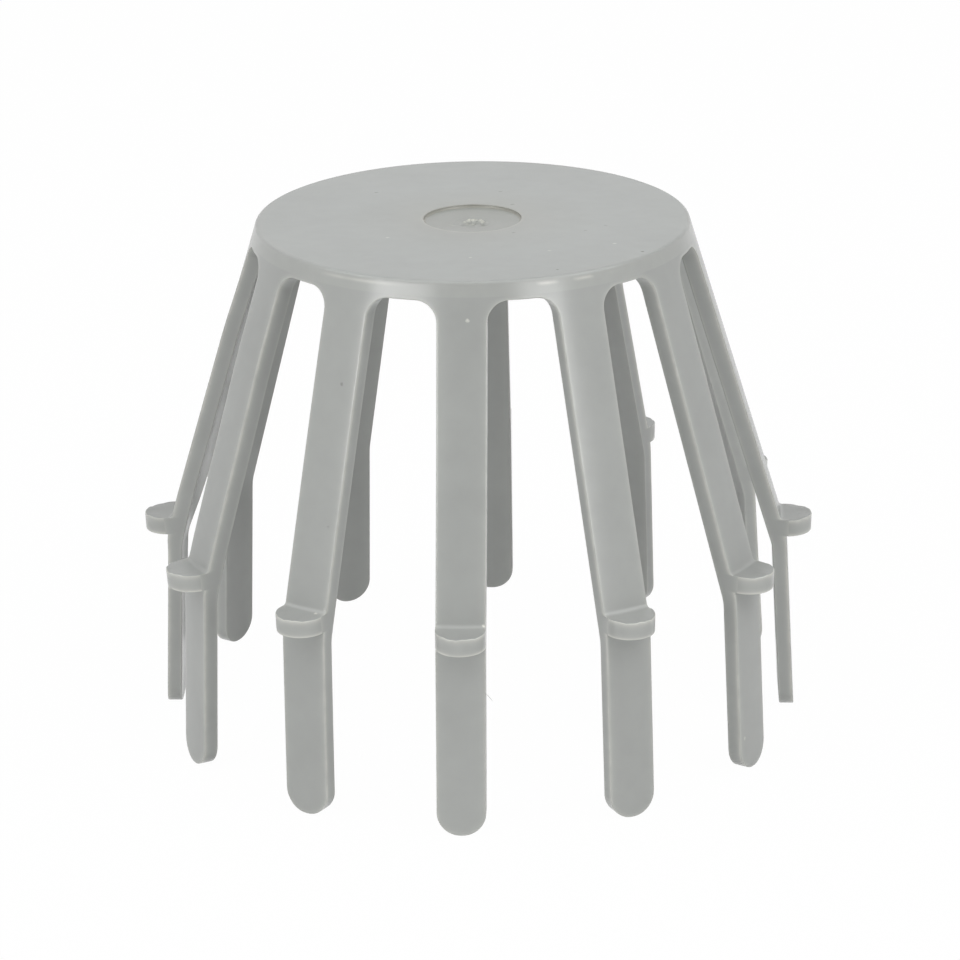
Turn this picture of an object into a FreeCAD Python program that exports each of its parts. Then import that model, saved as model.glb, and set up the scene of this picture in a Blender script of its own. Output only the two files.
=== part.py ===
# Downpipe leaf filter: one moulded cage, a round disc with a ring of sprung fingers under its edge.
# The fingers slope out from the disc, turn down into the pipe and carry a half-round lug at the turn.
# Millimetres, +Z up. The fingertips stand on z = 0 and the axis of the cage is the Z axis.
import FreeCAD
import Part
import math
import os

# Driving dimensions of the disc
rim_height = 62.35
disc_diameter = 51.5
disc_wall = 1.25
rim_radius = 0.4

# Driving dimensions of the gate recess in the middle of the disc
recess_diameter = 11.6
recess_depth = 0.35
recess_dish = 0.25
gate_stub_diameter = 2.4
gate_stub_height = 0.4
gate_stub_taper = 0.5

# Driving dimensions of the wall that the fingers are cut from
bend_height = 22.6
bend_diameter = 75.6
tip_flare = 2.1
bend_radius = 4.0
cone_wall = 1.95
tine_wall = 1.77

# Driving dimensions of the fingers
finger_count = 12
finger_width = 5.7
slot_drop = 2.15
slot_corner_radius = 2.4
tip_land = 0.2

# Driving dimensions of the lug that stops each finger on the pipe's rim
lug_reach = 3.0
lug_thickness = 2.1
lug_above_bend = 0.4
lug_inset = 0.05
lug_bite = 0.6
lug_chamfer = 0.12
lug_root_break = 0.4

# Sizes that follow from the driving dimensions
tip_diameter = bend_diameter + tip_flare
disc_edge = disc_diameter / 2
bend_edge = bend_diameter / 2
tip_edge = tip_diameter / 2
disc_underside = rim_height - disc_wall
slot_top = rim_height - slot_drop
cone_slope = (bend_edge - disc_edge) / (rim_height - bend_height)
tine_slope = (tip_edge - bend_edge) / bend_height
cone_wall_level = cone_wall * math.hypot(1, cone_slope)
tine_wall_level = tine_wall * math.hypot(1, tine_slope)
half_width = finger_width / 2
finger_step = 360 / finger_count
lug_underside = bend_height + lug_above_bend
lug_top = lug_underside + lug_thickness
lug_tip = bend_edge + lug_reach
lug_half_width = half_width - lug_inset

# The axis, the length below which two levels count as one, and the share of its wall a rounding may fill
AXIS = FreeCAD.Vector(0, 0, 1)
CENTRE = FreeCAD.Vector(0, 0, 0)
CLOSE = 1e-4
ROUNDING_SHARE = 0.95


def cone_radius(height):
    """Outer radius of the sloping wall at a height."""
    return disc_edge + (rim_height - height) * cone_slope


def rounded_outline(corners):
    """Wire through corners (x, z, rounding) in the XZ plane, with a tangent arc at each rounded corner."""
    points = [FreeCAD.Vector(x, 0, z) for x, z, rounding in corners]
    stretches = []
    for number, (x, z, rounding) in enumerate(corners):
        here = points[number]
        back = (points[number - 1] - here).normalize()
        ahead = (points[(number + 1) % len(points)] - here).normalize()
        half_turn = (math.pi - back.getAngle(ahead)) / 2
        reach = rounding * math.tan(half_turn)
        inwards = (back + ahead).normalize()
        sagitta = rounding / math.cos(half_turn) - rounding
        stretches.append((here + back * reach, here + inwards * sagitta, here + ahead * reach, rounding))
    edges = []
    for number, (arrive, middle, leave, rounding) in enumerate(stretches):
        if rounding > 0:
            edges.append(Part.Arc(arrive, middle, leave).toShape())
        edges.append(Part.makeLine(leave, stretches[(number + 1) % len(stretches)][0]))
    return Part.Wire(edges)


def bell():
    """Whole bell before its slots: disc, sloping wall and flared foot, turned from one section."""
    recess_edge = recess_diameter / 2
    floor_edge = rim_height - recess_depth
    floor_middle = floor_edge - recess_dish
    stub_edge = gate_stub_diameter / 2
    stub_top = floor_middle + gate_stub_height
    pad_drop = recess_depth + recess_dish
    pad_edge = recess_edge + disc_wall
    inner_cone_foot = cone_radius(0) - cone_wall_level
    inner_tine_foot = tip_edge - tine_wall_level
    inner_bend_height = (inner_cone_foot - inner_tine_foot) / (cone_slope - tine_slope)
    inner_bend_edge = inner_tine_foot - inner_bend_height * tine_slope
    section = rounded_outline([
        (0, disc_underside - pad_drop, 0),
        (pad_edge, disc_underside - pad_drop, 0),
        (pad_edge + pad_drop, disc_underside, 0),
        (cone_radius(disc_underside) - cone_wall_level, disc_underside, 0),
        (inner_bend_edge, inner_bend_height, bend_radius),
        (inner_tine_foot, 0, 0),
        (tip_edge, 0, 0),
        (bend_edge, bend_height, bend_radius + tine_wall),
        (disc_edge, rim_height, rim_radius),
        (recess_edge, rim_height, 0),
        (recess_edge, floor_edge, 0),
        (stub_edge, floor_middle, 0),
        (stub_edge - gate_stub_taper, stub_top, 0),
        (0, stub_top, 0),
    ])
    face = Part.Face(section)
    face.rotate(CENTRE, AXIS, finger_step / 2)
    return face.revolve(CENTRE, AXIS, 360)


def slot_cutter():
    """Wedge between the front finger and the next one, from inside the wall to beyond the lugs' tips.

    Its sides run parallel to the two fingers, and its top corners are rounded.
    """
    inner_reach = cone_radius(slot_top) - cone_wall_level - disc_wall
    outer_reach = lug_tip + lug_thickness
    half_step = math.radians(finger_step / 2)

    def side(reach):
        return reach * math.tan(half_step) - half_width / math.cos(half_step)

    plan = [
        FreeCAD.Vector(-side(inner_reach), -inner_reach, -half_width),
        FreeCAD.Vector(-side(outer_reach), -outer_reach, -half_width),
        FreeCAD.Vector(side(outer_reach), -outer_reach, -half_width),
        FreeCAD.Vector(side(inner_reach), -inner_reach, -half_width),
    ]
    wedge = Part.Face(Part.makePolygon(plan + plan[:1])).extrude(AXIS * (slot_top + half_width))
    top_sides = []
    for edge in wedge.Edges:
        level = abs(edge.BoundBox.ZMin - slot_top) < CLOSE
        if level and edge.BoundBox.YLength > CLOSE:
            top_sides.append(edge)
    widest_rounding = side(inner_reach) * ROUNDING_SHARE
    wedge = wedge.makeFillet(min(slot_corner_radius, widest_rounding), top_sides)
    wedge.rotate(CENTRE, AXIS, finger_step / 2)
    return wedge


def lug():
    """Half-round tab on the front finger, flat on both faces, with its lower edge broken."""
    root = lug_bite - cone_radius(lug_top)
    nose = lug_half_width - lug_tip
    left_root = FreeCAD.Vector(-lug_half_width, root, lug_underside)
    left_nose = FreeCAD.Vector(-lug_half_width, nose, lug_underside)
    tip = FreeCAD.Vector(0, -lug_tip, lug_underside)
    right_nose = FreeCAD.Vector(lug_half_width, nose, lug_underside)
    right_root = FreeCAD.Vector(lug_half_width, root, lug_underside)
    edges = [
        Part.makeLine(left_nose, left_root),
        Part.makeLine(left_root, right_root),
        Part.makeLine(right_root, right_nose),
        Part.Arc(right_nose, tip, left_nose).toShape(),
    ]
    tab = Part.Face(Part.Wire(edges)).extrude(AXIS * lug_thickness)
    lower_edges = []
    for edge in tab.Edges:
        level = abs(edge.BoundBox.ZMax - lug_underside) < CLOSE
        if level and edge.BoundBox.YLength > CLOSE:
            lower_edges.append(edge)
    return tab.makeChamfer(lug_chamfer, lower_edges)


def lug_root():
    """Sloping break in the corner under the front lug, from its flat seat down into the finger."""
    seat_edge = cone_radius(lug_underside) + lug_root_break
    buried_edge = seat_edge - 2 * lug_root_break
    buried_foot = lug_underside - 2 * lug_root_break
    buried_top = lug_underside + lug_thickness / 2
    seat_half_width = lug_half_width - lug_chamfer
    section = [
        FreeCAD.Vector(-seat_half_width, -seat_edge, lug_underside),
        FreeCAD.Vector(-seat_half_width, -buried_edge, buried_foot),
        FreeCAD.Vector(-seat_half_width, -buried_edge, buried_top),
        FreeCAD.Vector(-seat_half_width, -seat_edge, buried_top),
    ]
    across = FreeCAD.Vector(2 * seat_half_width, 0, 0)
    return Part.Face(Part.makePolygon(section + section[:1])).extrude(across)


def ring_of(shape):
    """Copies of a shape at the front finger, one for each finger round the axis."""
    copies = []
    for number in range(finger_count):
        copy = shape.copy()
        copy.rotate(CENTRE, AXIS, number * finger_step)
        copies.append(copy)
    return copies


def rounded_tips(cage):
    """Rounds the two foot corners of every finger into a half-round tip with a narrow land."""
    corners = []
    for edge in cage.Edges:
        across_wall = abs(edge.Length - tine_wall_level) < tine_wall_level / 2
        if edge.BoundBox.ZMax < CLOSE and across_wall:
            corners.append(edge)
    return cage.makeFillet(half_width - tip_land / 2, corners)


def leaf_filter():
    """The whole moulding: the slotted bell with rounded fingertips and its ring of lugs, as one solid."""
    cage = bell().cut(ring_of(slot_cutter()))
    stop = lug().fuse(lug_root())
    return rounded_tips(cage).multiFuse(ring_of(stop)).Solids[0]


os.makedirs("parts", exist_ok=True)
leaf_filter().exportStep("parts/leaf_filter.step")
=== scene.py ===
"""Dresses the packed downpipe leaf filter with its moulded skin, flash and finish, and sets the stage."""

import math

import bpy
import numpy as np
from bpy.props import FloatProperty, FloatVectorProperty, IntProperty, PointerProperty
from bpy.types import Operator, Panel, PropertyGroup
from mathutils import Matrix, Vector


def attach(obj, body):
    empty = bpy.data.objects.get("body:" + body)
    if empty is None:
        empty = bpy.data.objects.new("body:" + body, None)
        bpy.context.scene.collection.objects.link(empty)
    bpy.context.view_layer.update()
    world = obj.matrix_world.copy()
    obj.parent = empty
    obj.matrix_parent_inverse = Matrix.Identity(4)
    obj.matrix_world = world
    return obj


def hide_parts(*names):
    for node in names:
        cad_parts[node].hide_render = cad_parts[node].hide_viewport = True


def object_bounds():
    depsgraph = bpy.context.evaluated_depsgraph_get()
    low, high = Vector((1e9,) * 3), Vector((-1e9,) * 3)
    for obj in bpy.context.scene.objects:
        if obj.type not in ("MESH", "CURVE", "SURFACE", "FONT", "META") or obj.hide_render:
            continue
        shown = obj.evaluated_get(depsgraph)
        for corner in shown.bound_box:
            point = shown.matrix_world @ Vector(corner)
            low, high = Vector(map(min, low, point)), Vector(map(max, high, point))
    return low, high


bl_info = {
    "name": "Downpipe leaf filter",
    "version": (1, 0, 0),
    "blender": (4, 5, 0),
    "location": "View3D > Sidebar > Leaf filter",
    "description": "Builds the moulded skin of a downpipe leaf filter round its packed frame",
    "category": "Add Mesh",
}

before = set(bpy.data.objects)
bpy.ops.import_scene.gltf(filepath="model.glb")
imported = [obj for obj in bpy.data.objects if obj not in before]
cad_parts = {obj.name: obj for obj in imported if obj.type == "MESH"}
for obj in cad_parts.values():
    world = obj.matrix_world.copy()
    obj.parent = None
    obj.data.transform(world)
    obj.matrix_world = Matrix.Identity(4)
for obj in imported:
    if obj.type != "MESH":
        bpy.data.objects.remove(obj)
CAD_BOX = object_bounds()
MM = 0.001
WELD = 1e-7
FINGERS = 12


# Sizes, colours and stage values that a user would change

def length(name, description, millimetres):
    """A length property whose default is given in millimetres."""
    return FloatProperty(name=name, description=description, default=millimetres * MM,
                         unit="LENGTH", precision=5)


def finger_lengths(name, description, millimetres):
    """A length for each finger, from the front one round to the right, given in millimetres."""
    return FloatVectorProperty(name=name, description=f"{description}, from the front one round to the right",
                               default=[value * MM for value in millimetres], size=FINGERS,
                               unit="LENGTH", precision=5)


def share(name, description, default):
    """A plain factor between nought and one."""
    return FloatProperty(name=name, description=description, default=default, min=0, max=1, subtype="FACTOR")


def colour(name, description, default):
    """A linear colour property."""
    return FloatVectorProperty(name=name, description=description, default=default, min=0, max=1,
                               subtype="COLOR")


def power(name, description, default):
    """The power of a lamp in watts."""
    return FloatProperty(name=name, description=description, default=default, min=0, unit="POWER")


class FilterSizes(PropertyGroup):
    """Sizes of the moulding."""
    rim_height: length("Rim height", "Height of the cap above the fingertips", CAD_BOX[1].z / MM)
    lug_tip: length("Lug tip", "Radius over the tips of the lugs", CAD_BOX[1].x / MM)
    disc_diameter: length("Disc diameter", "Width of the cap at its rim", 51.5)
    disc_wall: length("Disc wall", "Thickness of the cap", 1.25)
    rim_rounding: length("Rim rounding", "Radius of the cap's upper edge", 0.4)
    recess_diameter: length("Recess diameter", "Width of the sunk gate mark", 11.6)
    recess_depth: length("Recess depth", "Depth of the sunk gate mark at its edge", 0.35)
    recess_dish: length("Recess dish", "How much deeper the gate mark is in its middle", 0.25)
    recess_lip: length("Recess lip", "Rounding of the gate mark's upper edge", 0.08)
    recess_hollow: length("Recess hollow", "Hollow rounding at the foot of the gate mark's wall", 0.25)
    bend_height: length("Bend height", "Height of the turn in the fingers", 22.6)
    bend_diameter: length("Bend diameter", "Width over the turn in the fingers", 75.6)
    bend_ease: length("Bend ease", "Half the height over which the turn is rounded", 0.72)
    tip_flare: length("Tip flare", "How much wider the ring is at its tips than at the turn", 2.1)
    cone_wall: length("Cone wall", "Thickness of the fingers above the turn", 1.95)
    tine_wall: length("Tine wall", "Thickness of the fingers below the turn", 1.77)
    finger_count: IntProperty(
        name="Finger count", description="Fingers round the cap", default=FINGERS, min=3)
    finger_width: length("Finger width", "Width of a finger from cap to tip", 5.7)
    slot_drop: length("Slot drop", "Top of the slots below the cap's top", 2.15)
    slot_corner: length("Slot corner", "Radius of the slots' upper corners", 2.4)
    tip_land: length("Tip land", "Flat between the two roundings of a fingertip", 0.2)
    outer_edge: length("Outer edge", "Rounding of the fingers' outer edges", 0.12)
    inner_edge: length("Inner edge", "Rounding of the fingers' inner edges", 0.15)
    lug_above_bend: length("Lug above bend", "Underside of the lugs above the turn", 0.4)
    lug_thickness: length("Lug thickness", "Height of a lug", 2.1)
    lug_root: length("Lug root", "Hollow rounding between a lug's top and its finger", 0.4)
    lug_low_root: length("Lug low root", "Hollow rounding between a lug's underside and its finger", 0.15)
    lug_top_edge: length("Lug top edge", "Rounding of a lug's upper edge", 0.13)
    lug_low_edge: length("Lug low edge", "Rounding of a lug's lower edge", 0.12)
    lug_draft: length("Lug draft", "How far a lug's wall leans in towards its lower edge", 0.06)
    finger_leans: finger_lengths(
        "Finger leans", "Sideways lean of each fingertip",
        (-0.3, 0.1, 0.25, 0.15, 0.0, 0.05, 0.05, 0.15, 0.1, 0.05, -0.05, 0.48))
    finger_bows: finger_lengths(
        "Finger bows", "Outward lean of each fingertip",
        (0.05, -0.15, -0.1, 0.2, 1.0, 0.0, 0.0, 0.0, -0.05, 0.0, -0.25, -0.75))
    finger_twists: FloatVectorProperty(
        name="Finger twists",
        description="Twist of each finger about its own length above the turn, as a slope",
        size=FINGERS, default=(0, 0, 0, 0, 0, 0, 0, 0, 0, 0.16, 0, 0))
    finger_bellies: finger_lengths(
        "Finger bellies", "How far each finger stands out between the cap and the turn",
        (0, 0, 0, 0, 0, 0, 0, 0, 0, -0.1, 0.25, 0))


class FilterColours(PropertyGroup):
    """Colours and sheen of the grey polypropylene."""
    body: colour("Body", "Colour of the plain moulding", (0.36, 0.37, 0.357))
    # Pale is also the colour of the painted highlights and glow at edges and of the painted glints among the
    # specks, and edge strength scales the paleness attribute that lays it on
    pale: colour("Pale", "Colour of thin edges and flash, where light goes through", (0.66, 0.66, 0.61))
    # Dirt is also the colour of the painted shade in the gate's pits and hollow
    dirt_and_painted_shade: colour("Dirt", "Colour of the dark specks", (0.10, 0.10, 0.09))
    roughness: share("Roughness", "Roughness of the moulded face", 0.24)
    painted_edge_light_strength: share("Edge strength", "How pale the thin edges are", 0.9)


class FilterStage(PropertyGroup):
    """Camera, lamps and floor."""
    camera_place: FloatVectorProperty(
        name="Camera place", description="Where the camera stands", subtype="TRANSLATION", unit="LENGTH",
        default=(21.129 * MM, -411.364 * MM, 181.45 * MM))
    camera_turn: FloatVectorProperty(
        name="Camera turn", description="How the camera is turned", subtype="EULER",
        default=[math.radians(angle) for angle in (69.705, 0.7655, 2.5941)])
    lens: FloatProperty(
        name="Lens", description="Focal length in millimetres on a 36 mm sensor", default=135.005)
    sky: FloatProperty(name="Sky", description="Strength of the light from all round", default=0.08)
    room_front: share("Room front", "How white gloss sees the room in front of the object", 0.02)
    top_lamp: power("Top lamp", "Power of the lamp overhead", 1.8)
    left_box: power("Left box", "Power of the low box in front, to the left", 2.35)
    right_box: power("Right box", "Power of the low box in front, to the right", 1.75)
    high_left: power("High left", "Power of the high box in front, to the left", 3.8)
    high_right: power("High right", "Power of the high box in front, to the right", 4.5)
    floor: colour("Floor", "Colour of the floor", (0.88, 0.88, 0.88))
    floor_glow: share("Floor glow", "How far the floor shows as plain white to the camera", 0.985)


# Turned wall

class Form:
    """Sizes that follow from the driving ones, and the two radii of the turned wall at a height."""

    def __init__(self, size):
        self.size = size
        self.step = math.tau / size.finger_count
        self.disc_edge = size.disc_diameter / 2
        self.half_width = size.finger_width / 2
        self.slot_top = size.rim_height - size.slot_drop
        self.disc_underside = size.rim_height - size.disc_wall
        self.bend_edge = size.bend_diameter / 2
        self.tip_edge = self.bend_edge + size.tip_flare / 2
        self.cone_slope = (self.bend_edge - self.disc_edge) / (size.rim_height - size.bend_height)
        self.tine_slope = (self.tip_edge - self.bend_edge) / size.bend_height
        self.lug_underside = size.bend_height + size.lug_above_bend
        self.lug_top = self.lug_underside + size.lug_thickness
        cone_foot = self.bend_edge + size.bend_height * self.cone_slope
        inner_cone_foot = cone_foot - size.cone_wall * math.hypot(1, self.cone_slope)
        self.inner_foot = self.tip_edge - size.tine_wall * math.hypot(1, self.tine_slope)
        self.inner_bend_height = (inner_cone_foot - self.inner_foot) / (self.cone_slope - self.tine_slope)
        self.inner_bend_edge = self.inner_foot - self.inner_bend_height * self.tine_slope

    def turned(self, height, bend_height, bend_edge):
        """Radius at a height: the foot's slope, the cone's slope above the bend, a parabola between them."""
        ease = self.size.bend_ease
        rise = height - bend_height
        eased = np.clip(rise + ease, 0, 2 * ease) ** 2 / (4 * ease) + np.maximum(rise - ease, 0)
        return bend_edge - self.tine_slope * rise - (self.cone_slope - self.tine_slope) * eased

    def outer(self, height):
        """Outer radius of the wall at a height."""
        return self.turned(height, self.size.bend_height, self.bend_edge)

    def inner(self, height):
        """Inner radius of the wall at a height."""
        return self.turned(height, self.inner_bend_height, self.inner_bend_edge)


# Shapes that several pieces share

def fade(distance, reach):
    """Falls from one at an edge, to a third at its reach."""
    return np.exp(-distance / reach)


def hill(distance, width):
    """A smooth hill: exp(-(distance / width)^2)."""
    return np.exp(-(distance / width) ** 2)


def waves(along, parts):
    """Sum of sines; each part has a height, a rate and a start."""
    return sum(height * np.sin(rate * along + start) for height, rate, start in parts)


def quarter_round(inset, radius):
    """How far a rounded edge falls away at an inset from its border: radius less the height of its circle."""
    left = np.clip(radius - inset, 0, radius)
    return radius - np.sqrt(radius ** 2 - left ** 2)


# How pale the plastic is painted at its edges, on the lugs and on the band under the rim, as painted
# highlights and a painted glow where light would go through, and over what distance that fades
FRONT_EDGE_HIGHLIGHT, FRONT_FADE = 0.48, 0.14 * MM
SIDE_EDGE_HIGHLIGHT, SIDE_FADE = 1.0, 0.28 * MM
INNER_EDGE_HIGHLIGHT, INNER_FADE = 0.4, 0.12 * MM
FACE_GLOW, INNER_FACE_GLOW, FACE_FADE = 0.14, 0.22, 0.5 * MM
LUG_TOP_HIGHLIGHT, LUG_LOW_HIGHLIGHT, NOSE_GLOW, LUG_END_LOSS = 0.65, 0.95, 0.08, 0.6
BAND_GLOW, BAND_FADE = 0.1, 0.3 * MM
LIP_HIGHLIGHT, LIP_FADE = 0.25, 0.3 * MM


# Rows down a finger, and shares of a lug's faces and of its wall at which rows lie
CORNER_ROWS, SLOPE_ROWS, ROUNDING_ROWS, BEND_ROWS, TINE_ROWS, TIP_ROWS = 11, 15, 6, 7, 9, 15
FACE_SHARES = np.array([0.06, 0.35, 0.7, 0.94])
WALL_SHARES = np.array([0.05, 0.12, 0.22, 0.38, 0.62, 0.84, 0.94])
LUG_MARGIN = 0.2 * MM
CHIP_POWER = 4

# Columns across a finger: insets from its border, crowded where an edge is rounded, and the flat between
OUTER_INSETS = np.array([0.0, 0.008, 0.03, 0.068, 0.12, 0.22, 0.4]) * MM
INNER_INSETS = np.array([0.0, 0.011, 0.043, 0.09, 0.15, 0.35]) * MM
OUTER_FLAT = np.linspace(-1, 1, 15)[1:-1]
INNER_FLAT = np.linspace(-1, 1, 9)[1:-1]
OUTER_COLUMNS = 2 * len(OUTER_INSETS) + len(OUTER_FLAT)
SIDE_STEPS = np.array([0.02, 0.06, 0.12, 0.2, 0.32, 0.5, 0.72, 0.89, 0.95, 0.98])
SLOT_STEPS = np.linspace(0, 1, 7)

# The pale field holds the painted highlights and glow on a lug's edges and nose
FIELDS = ("across", "height", "turn", "level", "blend", "root", "nose", "pale", "wander")


def stretch(**given):
    """Rows of a finger's border as an array with one column for each field; a field not given is nought."""
    count = max(np.size(value) for value in given.values())
    given.setdefault("level", given["height"])
    return np.stack([np.broadcast_to(given.get(field, 0.0), count) for field in FIELDS], 1)


def lug_profile(form):
    """Rows of a lug: hollow root, top face, upper edge, leaning wall, lower edge, underside and low root.

    Blend is nought on the finger and one on the nose of the lug.
    """
    size = form.size
    root, low_root = size.lug_root, size.lug_low_root
    top_edge, low_edge, draft = size.lug_top_edge, size.lug_low_edge, size.lug_draft
    top, under = form.lug_top, form.lug_underside
    quarter = np.linspace(0, math.pi / 2, ROUNDING_ROWS)
    sin, cos = np.sin(quarter), np.cos(quarter)
    wall_height = top - top_edge - under - low_edge
    # Painted highlights on the lug's upper and lower edges, fading down its wall, and a faint painted glow on
    # its nose
    wall_highlight = LUG_TOP_HIGHLIGHT * fade(WALL_SHARES * wall_height, SIDE_FADE)
    wall_highlight += LUG_LOW_HIGHLIGHT * fade((1 - WALL_SHARES) * wall_height, FRONT_FADE) + NOSE_GLOW
    profile = np.concatenate([
        stretch(height=top + root * (1 - sin), root=root * (1 - cos)),
        stretch(height=top, blend=FACE_SHARES, root=root, nose=-top_edge, wander=FACE_SHARES ** CHIP_POWER),
        stretch(height=top - top_edge * (1 - cos), blend=1.0, nose=-top_edge * (1 - sin), wander=1.0,
                pale=np.maximum(sin * cos * 2, LUG_TOP_HIGHLIGHT * sin)),
        stretch(height=top - top_edge - WALL_SHARES * wall_height, blend=1.0, nose=-draft * WALL_SHARES,
                wander=(1 - WALL_SHARES) ** CHIP_POWER, pale=wall_highlight),
        stretch(height=under + low_edge * (1 - sin), blend=1.0, nose=-draft - low_edge * (1 - cos),
                pale=LUG_LOW_HIGHLIGHT * cos),
        stretch(height=under, blend=FACE_SHARES[::-1], root=low_root, nose=-draft - low_edge),
        stretch(height=under - low_root * (1 - cos), root=low_root * (1 - sin)),
    ])
    profile[:, FIELDS.index("across")] = form.half_width
    profile[:, FIELDS.index("level")] = profile[:, FIELDS.index("height")]
    profile[:, FIELDS.index("height")] = np.linspace(top + root, under - low_root, len(profile))
    return profile


def finger_border(form):
    """Rows from a slot's corner down to the fingertip: the border's place and inward turn, and the lug.

    The border is a quarter circle in the slot's corner, a straight side and a quarter circle at the tip.
    Where the lug stands, the rows follow its profile.
    """
    size = form.size
    corner, half = size.slot_corner, form.half_width
    tip = half - size.tip_land / 2
    lug_foot = form.lug_underside - size.lug_low_root
    turn = np.linspace(math.pi / 2, 0, CORNER_ROWS)
    slot_corner = stretch(across=half + corner * (1 - np.cos(turn)), turn=turn,
                          height=form.slot_top - corner * (1 - np.sin(turn)))
    slope_foot = form.lug_top + size.lug_root + LUG_MARGIN
    slope = stretch(across=half, height=np.linspace(form.slot_top - corner, slope_foot, SLOPE_ROWS)[1:])
    bend = np.linspace(lug_foot, form.inner_bend_height - size.bend_ease, BEND_ROWS)[1:]
    tine = np.linspace(bend[-1], tip, TINE_ROWS)[1:]
    lower = stretch(across=half, height=np.concatenate([bend, tine]))
    round_tip = np.linspace(0, math.pi / 2, TIP_ROWS)[1:]
    tip_rows = stretch(across=size.tip_land / 2 + tip * np.cos(round_tip), turn=round_tip,
                       height=tip * (1 - np.sin(round_tip)))
    middle = stretch(across=0.0, height=np.zeros(1), turn=math.pi / 2)
    rows = np.concatenate([slot_corner, slope, lug_profile(form), lower, tip_rows, middle])
    return {field: rows[:, number, None] for number, field in enumerate(FIELDS)}


def columns(insets, flat):
    """Side and inset of each column from left to right; the side runs from minus one to one."""
    side = np.concatenate([-np.ones(len(insets)), flat, np.ones(len(insets))])
    inset = np.concatenate([insets, np.full(len(flat), insets[-1]), insets[::-1]])
    return side, inset


def finger(form):
    """One finger with its lug as a closed tube of rows and columns, in its own frame: across, out and up.

    A column lies an inset in from the border. The outer sheet is the turned wall, sqrt(radius^2 - across^2),
    less the edge's rounding; in the lug's rows it is mixed with the lug's half-round nose. The inner sheet is
    the turned inner wall plus its rounding, and the sides join the two in straight steps.
    """
    size = form.size
    border = finger_border(form)
    inward, upward = -np.cos(border["turn"]), np.sin(border["turn"])
    side, inset = columns(OUTER_INSETS, OUTER_FLAT)
    across = side * (border["across"] + inset * inward)
    height = border["level"] + inset * upward
    wall = np.sqrt(form.outer(height) ** 2 - across ** 2) - quarter_round(inset, size.outer_edge)
    nose = size.lug_tip - form.half_width + np.sqrt(np.maximum(form.half_width ** 2 - across ** 2, 0))
    out = (wall + border["root"]) * (1 - border["blend"]) + (nose + border["nose"]) * border["blend"]
    # Painted highlight and painted glow along the outer face's edges, none on the lug's nose
    deep = inset + (1 - np.abs(side)) * np.maximum(border["across"] - OUTER_INSETS[-1], 0)
    edge = FRONT_EDGE_HIGHLIGHT * fade(deep, FRONT_FADE) + FACE_GLOW * fade(deep, FACE_FADE)
    edge = edge * (1 - border["blend"])
    outer = np.stack([across, out, height, np.maximum(edge, border["pale"])], -1)
    side, inset = columns(INNER_INSETS, INNER_FLAT)
    across = side * (border["across"] + inset * inward)
    height = border["height"] + inset * upward
    out = np.sqrt(form.inner(height) ** 2 - across ** 2) + quarter_round(inset, size.inner_edge)
    # Painted glow along the inner face's edges
    deep = inset + (1 - np.abs(side)) * np.maximum(border["across"] - INNER_INSETS[-1], 0)
    inner = np.stack([across, out, height, INNER_FACE_GLOW * fade(deep, FACE_FADE)], -1)[:, ::-1]
    steps = SIDE_STEPS[None, :, None]
    right = outer[:, -1:] * (1 - steps) + inner[:, :1] * steps
    left = (outer[:, :1] * (1 - steps) + inner[:, -1:] * steps)[:, ::-1]
    # Painted highlights down the side walls at the outer and the inner edge, weaker on the lug's ends
    from_outer, from_inner = SIDE_STEPS * size.cone_wall, (1 - SIDE_STEPS) * size.cone_wall
    side_highlight = SIDE_EDGE_HIGHLIGHT * fade(from_outer, SIDE_FADE) + INNER_EDGE_HIGHLIGHT * fade(from_inner, INNER_FADE)
    side_share = 1 - LUG_END_LOSS * border["blend"]
    right[..., 3] = side_highlight * side_share
    left[..., 3] = side_highlight[::-1] * side_share
    return np.concatenate([outer, right, inner, left], 1), border["wander"]


# Mesh making

def grid_faces(rows, count, wrap, flip):
    """Quads of a grid of rows and columns; wrap joins the last column to the first, flip turns them round."""
    row = np.arange(rows - 1)[:, None] * count
    here = np.arange(count if wrap else count - 1)
    ahead = (here + 1) % count
    quads = np.stack([row + here, row + count + here, row + count + ahead, row + ahead], -1).reshape(-1, 4)
    return quads[:, ::-1] if flip else quads


class Sheets:
    """Grids of points that are welded into one closed mesh."""

    def __init__(self):
        self.points, self.faces, self.count = [], [], 0

    def add(self, points, wrap=False, flip=False):
        """Takes a grid of points, each with its place and its paleness."""
        rows, count = points.shape[:2]
        self.points.append(points.reshape(-1, 4))
        self.faces.append(grid_faces(rows, count, wrap, flip) + self.count)
        self.count += rows * count

    def mesh(self, name):
        """Welds points that share a place, makes triangles of quads that lost a corner, and fills a mesh."""
        points = np.concatenate(self.points)
        places = np.round(points[:, :3] / WELD).astype(np.int64)
        _, first, joined = np.unique(places, axis=0, return_index=True, return_inverse=True)
        points = points[first]
        faces = joined.reshape(-1)[np.concatenate(self.faces)]
        twin = faces == np.roll(faces, -1, axis=1)
        quads = faces[~twin.any(1)]
        thin = twin.sum(1) == 1
        triangles = faces[thin][~twin[thin]].reshape(-1, 3)
        mesh = bpy.data.meshes.new(name)
        mesh.from_pydata(points[:, :3].tolist(), [], quads.tolist() + triangles.tolist())
        # The paleness holds the pale flash and torn gate, and the painted highlights and glow at edges
        pale = mesh.attributes.new("pale_edge", "FLOAT", "POINT")
        pale.data.foreach_set("value", points[:, 3].astype(np.float32))
        mesh.shade_smooth()
        if mesh.validate():
            raise RuntimeError(f"{name} had faulty faces")
        return mesh


def piece(mesh, material, replaced=()):
    """Puts a mesh into the scene as a piece of the moulding, with its finish."""
    made = bpy.data.objects.new(mesh.name, mesh)
    bpy.context.collection.objects.link(made)
    mesh.materials.append(material)
    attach(made, "root")
    if replaced:
        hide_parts(*replaced)
    return made


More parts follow.
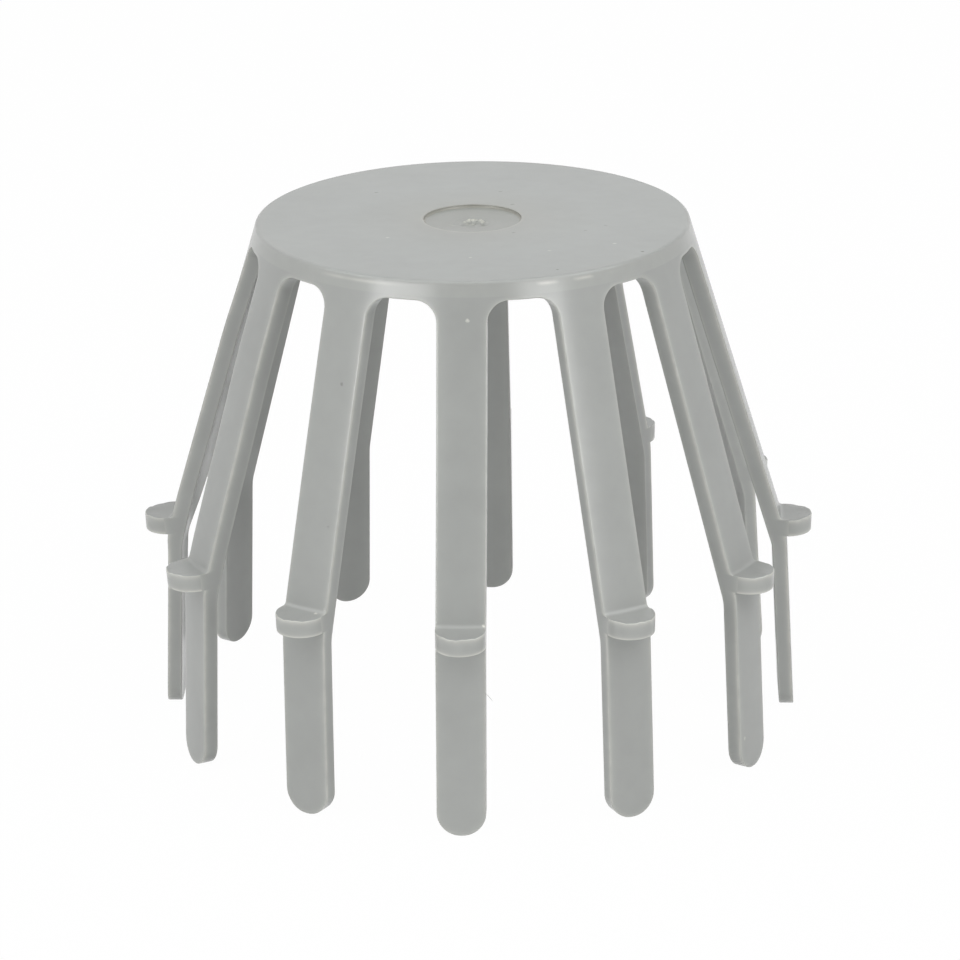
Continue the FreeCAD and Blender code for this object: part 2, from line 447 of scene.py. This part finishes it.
def around(grid, angle):
    """Turns a finger's grid (across, out, up, paleness) about the axis until its front faces an angle."""
    across, out, up, pale = np.moveaxis(grid, -1, 0)
    x = out * np.cos(angle) - across * np.sin(angle)
    y = out * np.sin(angle) + across * np.cos(angle)
    return np.stack([x, y, up, pale], -1)


def ring_sheet(radius, height, angles):
    """A sheet turned about the axis: every point of a profile at every angle, with no paleness yet."""
    radius, height = radius[:, None], height[:, None]
    level = np.broadcast_to(height, (len(radius), len(angles)))
    return np.stack([radius * np.cos(angles), radius * np.sin(angles), level, np.zeros(level.shape)], -1)


def sector_angles(form, radius, flat):
    """Angles round the cap at which the fingers' top rows and the slots' edges meet a ring of that radius."""
    reach = form.half_width + form.size.slot_corner
    end = math.asin(reach / radius)
    over_finger = np.arcsin(np.concatenate([[-1.0], flat, [1.0]]) * reach / radius)
    over_slot = end + SLOT_STEPS[1:-1] * (form.step - 2 * end)
    sector = np.concatenate([over_finger, over_slot])
    starts = np.arange(form.size.finger_count) * form.step - math.pi / 2
    return (starts[:, None] + sector).reshape(-1)


# Moulding marks: torn gate, flash and chipped lugs

# Torn gate in millimetres: its middle, ring wall, ripples, hollow, pits and burr
SCAR_MIDDLE = (0.15, -0.2)
RING_RADIUS, RING_WIDTH, RING_HEIGHT = 0.98, 0.24, 0.34
RING_WAVES = ((0.12, 2, 0.8), (0.06, 7, 0.0))
TORN_MEAN, TORN_WAVES = 0.55, ((0.3, 1, 0.0), (0.2, 3, 0.9), (0.2, 8, 2.0))
TORN_PALE, TORN_PALE_LOSS = 2.0, 0.25
RIPPLE_HEIGHT, RIPPLE_RATE, RIPPLE_RADIUS, RIPPLE_WIDTH = 0.01, 9, 2.0, 0.7
HOLLOW_DEPTH, HOLLOW_WIDTH = 0.12, 0.5
PITS, PIT_DEPTH, PIT_WIDTH = ((-1.2, -0.85), (1.2, -0.85)), 0.06, math.sqrt(0.1)
BURR_MIDDLE, BURR_LENGTH, BURR_WIDTH, BURR_HEIGHT, BURR_PALE = (-2.6, -1.1), 0.4, 0.2, 0.05, 0.5


def gate_scar(x, y):
    """Height and paleness of the torn gate over the recess's floor.

    A broken ring wall stands round a hollow: a hill across the ring's wavy radius, times its torn height.
    Ripples run out from it, two pits lie in front of it and a burr lies at its left. The torn tops are pale.
    """
    x, y = x / MM - SCAR_MIDDLE[0], y / MM - SCAR_MIDDLE[1]
    r, turn = np.hypot(x, y), np.arctan2(y, x)
    torn = np.clip(TORN_MEAN + waves(turn, TORN_WAVES), 0, 1)
    wall = hill(r - RING_RADIUS - waves(turn, RING_WAVES), RING_WIDTH) * torn
    ripples = np.cos(RIPPLE_RATE * r) * hill(r - RIPPLE_RADIUS, RIPPLE_WIDTH)
    rise = RING_HEIGHT * wall + RIPPLE_HEIGHT * ripples - HOLLOW_DEPTH * hill(r, HOLLOW_WIDTH)
    for pit_x, pit_y in PITS:
        rise -= PIT_DEPTH * hill(np.hypot(x - pit_x, y - pit_y), PIT_WIDTH)
    burr = hill(x - BURR_MIDDLE[0], BURR_LENGTH) * hill(y - BURR_MIDDLE[1], BURR_WIDTH)
    pale = np.clip(TORN_PALE * wall - TORN_PALE_LOSS, 0, 1) + BURR_PALE * burr
    return (rise + BURR_HEIGHT * burr) * MM, pale


# Flash at the rim: azimuths and half span in degrees to the right of the front, level below the rim and width
LINE_AZIMUTH, DASHES_AZIMUTH, FLASH_SPAN = -27, 28, 10
LINE_PALE, DASHES_PALE, DASH_WAVE = 0.5, 0.8, (1.6, 0.62, 0.8)
FLASH_LEVEL, FLASH_WIDTH = 0.6 * MM, 0.16 * MM


def rim_flash(angle, height, rim_height):
    """Paleness of the band under the rim: a thin line of flash left of the front and dashes at the right,
    over a faint painted glow on the band.
    """
    azimuth = np.degrees(angle) + 90
    line = LINE_PALE * np.exp(-((azimuth - LINE_AZIMUTH) / FLASH_SPAN) ** 4)
    dashes = DASHES_PALE * np.clip(waves(azimuth, [DASH_WAVE]), 0, 1)
    dashes = dashes * np.exp(-((azimuth - DASHES_AZIMUTH) / FLASH_SPAN) ** 4)
    below = rim_height - height
    # Faint painted glow over the band, starting just below the rim
    band = BAND_GLOW * np.clip(below / BAND_FADE, 0, 1)
    return (line + dashes) * hill(below - FLASH_LEVEL, FLASH_WIDTH) + band


# Hair of flash in millimetres: its start in the front finger's right edge, its run, drop, sag and thickness
HAIR_START, HAIR_RUN, HAIR_DROP, HAIR_SAG, HAIR_THICKNESS = (2.55, -37.95, 17.5), 0.95, 0.8, 0.3, 0.07
HAIR_ROWS, HAIR_COLUMNS, HAIR_PALE = 9, 8, 0.2


def flash_hair():
    """A hair of flash at the front finger's right edge: a tube on a bent line, pointed at both ends."""
    along = np.linspace(0, 1, HAIR_ROWS)[:, None]
    turn = np.linspace(0, math.tau, HAIR_COLUMNS + 1)[:-1]
    radius = HAIR_THICKNESS * np.sqrt(along * (1 - along))
    x = HAIR_START[0] + HAIR_RUN * along + radius * np.cos(turn)
    y = HAIR_START[1] + radius * np.sin(turn)
    z = HAIR_START[2] - HAIR_DROP * along - HAIR_SAG * along ** 2 + 0 * turn
    return np.stack([x * MM, y * MM, z * MM, np.full(x.shape, HAIR_PALE)], -1)


# Chips in a lug's upper edge, in millimetres: height, rate across the lug and shift from finger to finger
CHIPS = ((0.05, 2.3, 1.7), (0.035, 6.1, 2.9))


def chipped_edge(across, number):
    """How far a lug's upper edge stands off its true line: two waves, set on by the finger's number."""
    return waves(across / MM, [(height, rate, shift * number) for height, rate, shift in CHIPS]) * MM


# Skin of the moulding

# Rows of the cap: down its band, over its rim, across its disc, at its lip and across the recess
BAND_ROWS, RIM_ROWS, DISC_ROWS, LIP_ROWS, RECESS_ROWS, SCAR_ROWS = 13, 9, 22, 5, 8, 26
RIM_MARGIN, DISC_MARGIN, RECESS_MARGIN, LIP_MARGIN = 0.12 * MM, 0.6 * MM, 0.5 * MM, 0.05 * MM
RECESS_REACH, SCAR_REACH = 3.4 * MM, 3.2 * MM

# Rows of the underside, and how far they stay from its corner and its pad
UNDER_ROWS, PAD_ROWS, UNDER_MARGIN, PAD_MARGIN = 9, 5, 1.2 * MM, 0.5 * MM

# How fingers stray: how fast a lean grows to the tip, and the twist at heights given in bend heights
LEAN_POWER = 1.6
TWIST_HEIGHTS, TWIST_SHARES = np.array([0.9, 1.2, 2.2, 2.55]), (0.0, 1.0, 1.0, 0.0)


def cap_profile(form, start):
    """Radius and height from the band under the rim, over its rounding and the disc, to the gate's middle."""
    size = form.size
    slope = math.hypot(1, form.cone_slope)
    centre_height = size.rim_height - size.rim_rounding
    centre = form.outer(centre_height) - size.rim_rounding * slope
    turn = np.linspace(math.atan(form.cone_slope), math.pi / 2, RIM_ROWS)
    rim_radius = centre + size.rim_rounding * np.cos(turn)
    rim_height = centre_height + size.rim_rounding * np.sin(turn)
    band_height = np.linspace(start, rim_height[0], BAND_ROWS)[:-1]
    recess = size.recess_diameter / 2
    lip, hollow = size.recess_lip, size.recess_hollow
    floor = size.rim_height - size.recess_depth
    disc = np.concatenate([[centre - RIM_MARGIN],
                           np.linspace(centre - DISC_MARGIN, recess + RECESS_MARGIN, DISC_ROWS),
                           [recess + lip + LIP_MARGIN]])
    quarter = np.linspace(0, math.pi / 2, LIP_ROWS)
    bowl = np.concatenate([np.linspace(recess - hollow, RECESS_REACH, RECESS_ROWS)[1:],
                           np.linspace(SCAR_REACH, 0, SCAR_ROWS)])
    radius = [form.outer(band_height), rim_radius, disc, recess + lip * (1 - np.sin(quarter)),
              recess - hollow * (1 - np.cos(quarter)), bowl]
    height = [band_height, rim_height, np.full(len(disc), size.rim_height),
              size.rim_height - lip * (1 - np.cos(quarter)), floor + hollow * (1 - np.sin(quarter)),
              floor - size.recess_dish * (1 - (bowl / (recess - hollow)) ** 2)]
    return np.concatenate(radius), np.concatenate(height)


def cap_sheet(form):
    """Top of the cap with its band, rim, disc and recess; flash and the torn gate are pale, the band has a
    painted glow and the lip a painted highlight.
    """
    size = form.size
    start = form.slot_top + OUTER_INSETS[-1]
    radius, height = cap_profile(form, start)
    cap = ring_sheet(radius, height, sector_angles(form, form.outer(start), OUTER_FLAT))
    away, turn = np.hypot(cap[..., 0], cap[..., 1]), np.arctan2(cap[..., 1], cap[..., 0])
    cap[..., 3] = np.where(away > size.recess_diameter, rim_flash(turn, cap[..., 2], size.rim_height), 0)
    # Painted highlight on the recess's lip, strongest at the front and none at the back
    lip = hill(away - size.recess_diameter / 2 - size.recess_lip, LIP_FADE)
    cap[..., 3] += LIP_HIGHLIGHT * lip * (1 - np.sin(turn)) / 2
    inside = away < size.recess_diameter / 2 - 2 * size.recess_hollow
    rise, torn = gate_scar(cap[..., 0], cap[..., 1])
    cap[..., 2] += np.where(inside, rise, 0)
    cap[..., 3] += np.where(inside, torn, 0)
    cap[-1, :, 2] = cap[-1, :, 2].mean()
    return cap


def underside_sheet(form):
    """Underside of the cap: the inner band, a hollow corner, the disc's underside and its pad."""
    size = form.size
    start, under = form.slot_top + INNER_INSETS[-1], form.disc_underside
    pad_drop = size.recess_depth + size.recess_dish
    pad = size.recess_diameter / 2 + size.disc_wall
    corner = form.inner(start)
    hollow = under - start
    turn = np.linspace(0, math.pi / 2, ROUNDING_ROWS)
    disc = np.linspace(corner - UNDER_MARGIN, pad + UNDER_MARGIN, UNDER_ROWS)
    middle = np.linspace(pad - PAD_MARGIN, 0, PAD_ROWS)
    radius = np.concatenate([corner - hollow * (1 - np.cos(turn)), disc, [pad + pad_drop, pad], middle])
    height = np.concatenate([start + hollow * np.sin(turn), np.full(len(disc) + 1, under),
                             np.full(len(middle) + 1, under - pad_drop)])
    return ring_sheet(radius, height, sector_angles(form, corner, INNER_FLAT))


def slot_strip(top_row, form):
    """Edge of a slot's flat top between two fingers: the finger's right border swept in angle."""
    first = len(OUTER_INSETS) + len(OUTER_FLAT)
    last = OUTER_COLUMNS + len(SIDE_STEPS) + len(INNER_INSETS)
    across, out, up, pale = top_row[first:last].T
    radius, end = np.hypot(across, out), np.arctan2(across, out)
    angle = end + SLOT_STEPS[:, None] * (form.step - 2 * end)
    return np.stack([radius * np.sin(angle), radius * np.cos(angle), up + 0 * angle, pale + 0 * angle], -1)


def strayed(form, tube, wander, number):
    """One finger as it came from the mould: chipped at its lug, leaning, bowed, twisted or bellied.

    The lean and the bow grow as a power of the way down from the slot; twist and belly lie above the turn.
    """
    size = form.size
    free = form.slot_top - size.slot_corner
    bent = (np.clip(free - tube[..., 2], 0, free) / free) ** LEAN_POWER
    twisted = np.interp(tube[..., 2], TWIST_HEIGHTS * size.bend_height, TWIST_SHARES)
    own = number % FINGERS
    moved = tube.copy()
    moved[:, :OUTER_COLUMNS, 2] += wander * chipped_edge(tube[:, :OUTER_COLUMNS, 0], number)
    moved[..., 0] += size.finger_leans[own] * bent
    moved[..., 1] += size.finger_bows[own] * bent
    moved[..., 1] += (size.finger_twists[own] * tube[..., 0] + size.finger_bellies[own]) * twisted
    return moved


def skin_mesh(form, name):
    """The whole moulding as one closed skin: fingers with lugs, slot edges, cap and underside, and a hair."""
    sheets = Sheets()
    tube, wander = finger(form)
    strip = slot_strip(tube[0], form)
    for number in range(form.size.finger_count):
        angle = number * form.step - math.pi / 2
        sheets.add(around(strayed(form, tube, wander, number), angle), wrap=True)
        sheets.add(around(strip, angle).swapaxes(0, 1))
    sheets.add(cap_sheet(form), wrap=True, flip=True)
    sheets.add(flash_hair(), wrap=True, flip=True)
    sheets.add(underside_sheet(form), wrap=True)
    return sheets.mesh(name)


# Finish

def add_node(tree, kind, **values):
    """Adds a node, sets its own values, and sets or links its inputs, which are named in `inputs`."""
    inputs = values.pop("inputs", {})
    made = tree.nodes.new(kind)
    for key, value in values.items():
        setattr(made, key, value)
    for key, value in inputs.items():
        if isinstance(value, bpy.types.NodeSocket):
            tree.links.new(value, made.inputs[key])
        else:
            made.inputs[key].default_value = value
    return made


def noise(tree, place, scale, detail):
    """Noise at a place, as a value and as a colour."""
    return add_node(tree, "ShaderNodeTexNoise", inputs={
        "Vector": place, "Scale": scale, "Detail": detail}).outputs


def ranged(tree, value, low, high, to_low, to_high):
    """A value brought from one range to another."""
    return add_node(tree, "ShaderNodeMapRange", inputs={
        "Value": value, "From Min": low, "From Max": high,
        "To Min": to_low, "To Max": to_high}).outputs["Result"]


def worked(tree, operation, *values):
    """Result of a sum on values."""
    return add_node(tree, "ShaderNodeMath", operation=operation, inputs=dict(enumerate(values))).outputs[0]


def worked_vector(tree, operation, *vectors):
    """Results of a sum on vectors."""
    inputs = dict(enumerate(vectors))
    return add_node(tree, "ShaderNodeVectorMath", operation=operation, inputs=inputs).outputs


def mixed(tree, share_on, under, over, blend="MIX"):
    """A colour with another laid over it by a share."""
    return add_node(tree, "ShaderNodeMix", data_type="RGBA", blend_type=blend, inputs={
        0: share_on, 6: under, 7: over}).outputs[2]


# Unevenness of the plastic: the noise's scale and detail, its range, and the range this is brought to
UNEVEN = {
    "cloud": (90.0, 3.0, 0.3, 0.7, 0.972, 1.028),
    "fine": (450.0, 2.0, 0.3, 0.7, 0.985, 1.015),
    "edge": (500.0, 3.0, 0.3, 0.65, 0.65, 1.0),
    # The edge kind makes the painted edge light uneven
    "sheen": (250.0, 2.0, 0.3, 0.7, -0.03, 0.03),
    # This kind strays the radius of the disc's painted rings of shade and reflection
    "ring_tone": (60.0, 2.0, 0.3, 0.7, -0.03, 0.03),
}
GRAIN_SCALE, GRAIN_DETAIL, GRAIN_STRENGTH, GRAIN_HEIGHT = 1500.0, 2.0, 0.05, 0.05 * MM


def uneven(tree, place, kind):
    """One of the plastic's kinds of unevenness at a place."""
    scale, detail, *ranges = UNEVEN[kind]
    return ranged(tree, noise(tree, place, scale, detail)["Fac"], *ranges)


def mottle_and_edge_light_group():
    """Node group: cloudy tone of plastic, painted pale by the Edge input where an edge is thin, as painted
    highlights and glow, with an uneven sheen and fine grain.
    """
    tree = bpy.data.node_groups.new("moulded_mottle", "ShaderNodeTree")
    for name, kind in (("Body", "Color"), ("Pale", "Color"), ("Edge", "Float"), ("Sheen", "Float")):
        tree.interface.new_socket(name, in_out="INPUT", socket_type=f"NodeSocket{kind}")
    for name, kind in (("Color", "Color"), ("Roughness", "Float"), ("Height", "Float")):
        tree.interface.new_socket(name, in_out="OUTPUT", socket_type=f"NodeSocket{kind}")
    given = add_node(tree, "NodeGroupInput").outputs
    place = add_node(tree, "ShaderNodeTexCoord").outputs["Object"]
    tone = worked(tree, "MULTIPLY", uneven(tree, place, "cloud"), uneven(tree, place, "fine"))
    body = add_node(tree, "ShaderNodeVectorMath", operation="SCALE", inputs={0: given["Body"], "Scale": tone})
    # Lays the painted edge highlights and glow over the body's tone
    edge = worked(tree, "MULTIPLY", given["Edge"], uneven(tree, place, "edge"))
    add_node(tree, "NodeGroupOutput", inputs={
        "Color": mixed(tree, edge, body.outputs["Vector"], given["Pale"]),
        "Roughness": worked(tree, "ADD", given["Sheen"], uneven(tree, place, "sheen")),
        "Height": noise(tree, place, GRAIN_SCALE, GRAIN_DETAIL)["Fac"]})
    return tree


# Painted shade and painted reflection on the disc by its distance from the axis, as a share of the reach:
# painted shade on the recess and, browner, on its wall, then rings round it: painted shade darker near the
# recess and the rim, and a paler bluish painted reflection near 0.56
RING_SHADE_AND_REFLECTION_TONES = (
    (0.0, (0.87, 0.875, 0.845)), (0.212, (0.87, 0.875, 0.845)),
    (0.216, (0.75, 0.725, 0.66)), (0.222, (0.75, 0.725, 0.66)),
    (0.227, (0.975, 0.965, 0.93)), (0.25, (0.985, 0.985, 0.965)),
    (0.4, (0.98, 0.99, 0.985)), (0.56, (0.995, 1.012, 1.015)),
    (0.7, (0.98, 0.995, 1.0)), (0.96, (0.985, 1.0, 1.0)), (0.985, (1.0, 1.0, 1.0)),
)
RING_TONE_REACH = 26.0 * MM
RING_TONE_TRUE, RING_TONE_STRAY = 6.5 * MM, 9 * MM


def painted_ring_tone(tree, place, tone):
    """Multiplies a tone by the disc's rings of painted shade and painted reflection, at a distance from the
    axis that noise makes uneven.
    """
    flat = worked_vector(tree, "MULTIPLY", place, (1, 1, 0))["Vector"]
    away = worked_vector(tree, "LENGTH", flat)["Value"]
    beyond = ranged(tree, away, RING_TONE_TRUE, RING_TONE_STRAY, 0.0, 1.0)
    stray = worked(tree, "MULTIPLY", uneven(tree, place, "ring_tone"), beyond)
    ramp = add_node(tree, "ShaderNodeValToRGB", inputs={
        0: worked(tree, "MULTIPLY_ADD", away, 1 / RING_TONE_REACH, stray)})
    steps = ramp.color_ramp.elements
    while len(steps) < len(RING_SHADE_AND_REFLECTION_TONES):
        steps.new(1.0)
    for step, (position, colour_there) in zip(steps, RING_SHADE_AND_REFLECTION_TONES):
        step.position = position
        step.color = (*colour_there, 1)
    return mixed(tree, 1.0, tone, ramp.outputs["Color"], blend="MULTIPLY")


# Specks: place and radius in millimetres, and how far each is paler, or darker where that is below nought.
# The three at 61.7 to 61.8 mm high are painted shade in the gate's pits and hollow, the broad one darkens the
# disc round the recess, and the three at about 25 mm high are painted glints at the lugs' roots.
SPECKS_GLINTS_AND_SHADE = (
    ((20.22, -13.89, 62.35), 0.24, -0.8), ((10.63, -20.98, 62.35), 0.24, -0.55),
    ((-12.23, 11.08, 62.35), 0.28, -0.4), ((2.88, 11.5, 62.35), 0.28, -0.3),
    ((5.11, -6.16, 62.35), 0.28, -0.3), ((15.84, -3.25, 62.35), 0.3, -0.2),
    ((13.52, -5.33, 62.35), 0.28, -0.2), ((16.97, -10.67, 62.35), 0.3, 0.5),
    ((0.55, -16.29, 62.35), 0.28, 0.35), ((-9.54, -8.23, 62.35), 0.3, 0.4),
    ((9.52, -13.5, 62.35), 0.28, 0.3), ((4.54, 5.75, 62.2), 0.4, -0.3),
    ((-1.02, -1.1, 61.8), 0.5, -0.3), ((1.36, -1.11, 61.8), 0.42, -0.3),
    ((0.27, -0.68, 61.7), 0.35, -0.4), ((-13.81, -25.98, 50.26), 0.26, -0.4),
    ((-15.46, -30.47, 34.61), 0.3, -0.3), ((0.66, -27.0, 58.21), 0.26, 0.8),
    ((26.42, -5.52, 58.25), 0.3, 0.5), ((-18.22, -33.4, 17.29), 0.25, -0.2),
    ((32.57, -20.81, 4.28), 0.25, 0.6), ((2.47, -36.9, 25.2), 0.24, 1.0),
    ((-16.05, -33.2, 25.65), 0.32, 0.9), ((-16.88, -33.1, 25.1), 0.28, 0.8),
    ((-1.0, -4.0, 62.35), 7.5, -0.06),
)
SPECK_SCALE, SPECK_DETAIL, SPECK_STRAY, SPECK_CORE = 3000.0, 2.0, 0.4 * MM, 0.4


def specks_glints_and_shade(tree, place, tone, look):
    """Lays the specks, painted glints and painted shade on a tone, each a ball round its place with a ragged
    outline.
    """
    stray = noise(tree, place, SPECK_SCALE, SPECK_DETAIL)["Color"]
    stray = worked_vector(tree, "MULTIPLY_ADD", stray, [SPECK_STRAY] * 3, [-SPECK_STRAY / 2] * 3)["Vector"]
    ragged = worked_vector(tree, "ADD", place, stray)["Vector"]
    for spot, radius, share_on in SPECKS_GLINTS_AND_SHADE:
        away = worked_vector(tree, "DISTANCE", ragged, [value * MM for value in spot])["Value"]
        mask = ranged(tree, away, radius * MM, SPECK_CORE * radius * MM, 0.0, abs(share_on))
        tone = mixed(tree, mask, tone, (*(look.pale if share_on > 0 else look.dirt_and_painted_shade), 1))
    return tone


def plastic(name, look, edge_attribute):
    """Grey polypropylene: the mottle with painted highlights and glow at thin edges, painted shade and
    reflection in faint rings on the disc, and a few specks, some of which are painted glints and painted
    shade.
    """
    made = bpy.data.materials.new(name)
    made.use_nodes = True
    tree = made.node_tree
    shader = tree.nodes["Principled BSDF"]
    group = bpy.data.node_groups.get("moulded_mottle") or mottle_and_edge_light_group()
    edge = add_node(tree, "ShaderNodeAttribute", attribute_name=edge_attribute).outputs["Fac"]
    mottle = add_node(tree, "ShaderNodeGroup", node_tree=group, inputs={
        "Body": (*look.body, 1), "Pale": (*look.pale, 1), "Sheen": look.roughness,
        "Edge": worked(tree, "MULTIPLY", edge, look.painted_edge_light_strength)}).outputs
    place = add_node(tree, "ShaderNodeTexCoord").outputs["Object"]
    tone = specks_glints_and_shade(tree, place, painted_ring_tone(tree, place, mottle["Color"]), look)
    grain = add_node(tree, "ShaderNodeBump", inputs={
        "Strength": GRAIN_STRENGTH, "Distance": GRAIN_HEIGHT, "Height": mottle["Height"]})
    tree.links.new(tone, shader.inputs["Base Color"])
    tree.links.new(mottle["Roughness"], shader.inputs["Roughness"])
    tree.links.new(grain.outputs["Normal"], shader.inputs["Normal"])
    return made


# Stage

# Soft boxes: width, height and distance in metres, azimuth to the right of the front and elevation in degrees
LAMPS = (
    ("top_lamp", 0.9, 0.9, 0.8, 0, 90),
    ("left_box", 0.53, 0.16, 1.0, -34, 13.5),
    ("right_box", 0.36, 0.16, 1.0, 37.5, 13.5),
    ("high_left", 0.8, 0.8, 1.0, -67, 48),
    ("high_right", 0.8, 0.8, 1.0, 67, 48),
)
SENSOR_WIDTH = 36.0
FLOOR_REACH = 1.5
WHITE = (1, 1, 1, 1)

# Where the room turns from its dim front to white, as the depth of a direction: minus one is straight ahead
ROOM_DIM, ROOM_WHITE = -0.85, -0.4


def lamp(name, watts, width, height, away, azimuth, elevation):
    """A soft box that faces the middle of the object."""
    data = bpy.data.lights.new(name, "AREA")
    data.energy, data.shape = watts, "RECTANGLE"
    data.size, data.size_y = width, height
    turn, rise = math.radians(azimuth), math.radians(elevation)
    back = Vector((math.sin(turn) * math.cos(rise), -math.cos(turn) * math.cos(rise), math.sin(rise)))
    made = bpy.data.objects.new(name, data)
    made.location = (CAD_BOX[0] + CAD_BOX[1]) / 2 + back * away
    made.rotation_euler = (-back).to_track_quat("-Z", "Y").to_euler()
    bpy.context.collection.objects.link(made)


def seen_by_gloss(tree, path):
    """One where a ray comes by gloss or glass, so that the background shows in it."""
    return worked(tree, "MAXIMUM", path["Is Glossy Ray"], path["Is Transmission Ray"])


def mixed_shader(tree, share_on, under, over):
    """A shader with another laid over it by a share."""
    return add_node(tree, "ShaderNodeMixShader", inputs={0: share_on, 1: under, 2: over}).outputs[0]


def backdrop(scene, stage):
    """White all round to the camera, even light on the object, and a room that gloss sees dimmer in front."""
    world = bpy.data.worlds.new("studio")
    scene.world = world
    world.use_nodes = True
    tree = world.node_tree
    tree.nodes.clear()
    path = add_node(tree, "ShaderNodeLightPath").outputs
    place = add_node(tree, "ShaderNodeTexCoord").outputs["Object"]
    depth = add_node(tree, "ShaderNodeSeparateXYZ", inputs={0: place}).outputs["Y"]
    room = ranged(tree, depth, ROOM_DIM, ROOM_WHITE, stage.room_front, 1.0)

    def light(strength):
        return add_node(tree, "ShaderNodeBackground", inputs={
            "Color": WHITE, "Strength": strength}).outputs[0]

    lit = mixed_shader(tree, seen_by_gloss(tree, path), light(stage.sky), light(room))
    seen = mixed_shader(tree, path["Is Camera Ray"], lit, light(1.0))
    add_node(tree, "ShaderNodeOutputWorld", inputs={"Surface": seen})


def white_floor(scene, stage):
    """Flat white floor that glows to the camera and to gloss but keeps the object's shadow."""
    reach = np.array([-FLOOR_REACH, FLOOR_REACH])
    x, y = np.meshgrid(reach, reach)
    corners = np.stack([x, y, 0 * x], -1).reshape(-1, 3)
    mesh = bpy.data.meshes.new("floor")
    mesh.from_pydata(corners.tolist(), [], grid_faces(2, 2, False, True).tolist())
    made = bpy.data.objects.new("floor", mesh)
    scene.collection.objects.link(made)
    material = bpy.data.materials.new("white_floor")
    material.use_nodes = True
    tree = material.node_tree
    tree.nodes.clear()
    paper = add_node(tree, "ShaderNodeBsdfDiffuse", inputs={"Color": (*stage.floor, 1)}).outputs[0]
    glow = add_node(tree, "ShaderNodeEmission", inputs={"Color": WHITE, "Strength": 1.0}).outputs[0]
    path = add_node(tree, "ShaderNodeLightPath").outputs
    seen = worked(tree, "MAXIMUM", path["Is Camera Ray"], seen_by_gloss(tree, path))
    share_white = worked(tree, "MULTIPLY", seen, stage.floor_glow)
    surface = mixed_shader(tree, share_white, paper, glow)
    add_node(tree, "ShaderNodeOutputMaterial", inputs={"Surface": surface})
    mesh.materials.append(material)


def photo_camera(scene, stage):
    """Puts the camera in its place, with its lens, as the scene's own."""
    data = bpy.data.cameras.new("photo_camera")
    data.lens, data.sensor_width = stage.lens, SENSOR_WIDTH
    camera = bpy.data.objects.new("photo_camera", data)
    camera.location = stage.camera_place
    camera.rotation_euler = stage.camera_turn
    scene.collection.objects.link(camera)
    scene.camera = camera


# Operators, panel and registration

class LEAFFILTER_OT_moulding(Operator):
    """Builds the skin of the whole moulding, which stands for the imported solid"""
    bl_idname = "leaf_filter.moulding"
    bl_label = "Moulding"

    def execute(self, context):
        scene = context.scene
        material = plastic("grey_polypropylene", scene.leaf_filter_colours, "pale_edge")
        mesh = skin_mesh(Form(scene.leaf_filter_sizes), "moulding")
        piece(mesh, material, replaced=["leaf_filter"])
        return {"FINISHED"}


class LEAFFILTER_OT_stage(Operator):
    """Sets the white floor, the lamps and the camera"""
    bl_idname = "leaf_filter.stage"
    bl_label = "Stage"

    def execute(self, context):
        scene, stage = context.scene, context.scene.leaf_filter_stage
        scene.view_settings.view_transform = "Standard"
        backdrop(scene, stage)
        white_floor(scene, stage)
        for name, *placing in LAMPS:
            lamp(name, getattr(stage, name), *placing)
        photo_camera(scene, stage)
        return {"FINISHED"}


OPERATORS = (LEAFFILTER_OT_moulding, LEAFFILTER_OT_stage)
GROUPS = {
    "leaf_filter_sizes": FilterSizes,
    "leaf_filter_colours": FilterColours,
    "leaf_filter_stage": FilterStage,
}


class LEAFFILTER_PT_panel(Panel):
    """Lists the pieces and their values"""
    bl_idname = "LEAFFILTER_PT_panel"
    bl_label = "Leaf filter"
    bl_space_type = "VIEW_3D"
    bl_region_type = "UI"
    bl_category = "Leaf filter"

    def draw(self, context):
        for operator in OPERATORS:
            self.layout.operator(operator.bl_idname)
        for group_name in GROUPS:
            group = getattr(context.scene, group_name)
            for name in group.__annotations__:
                self.layout.prop(group, name)


def register():
    """Registers the classes and hangs the values on the scene."""
    for kind in (*GROUPS.values(), *OPERATORS, LEAFFILTER_PT_panel):
        bpy.utils.register_class(kind)
    for name, kind in GROUPS.items():
        setattr(bpy.types.Scene, name, PointerProperty(type=kind))


def unregister():
    """Takes the values and the classes away again."""
    for name in GROUPS:
        delattr(bpy.types.Scene, name)
    for kind in (LEAFFILTER_PT_panel, *reversed(OPERATORS), *reversed(GROUPS.values())):
        bpy.utils.unregister_class(kind)


def main():
    """Builds every piece and the stage."""
    register()
    bpy.ops.leaf_filter.moulding()
    bpy.ops.leaf_filter.stage()


if __name__ == "__main__":
    main()
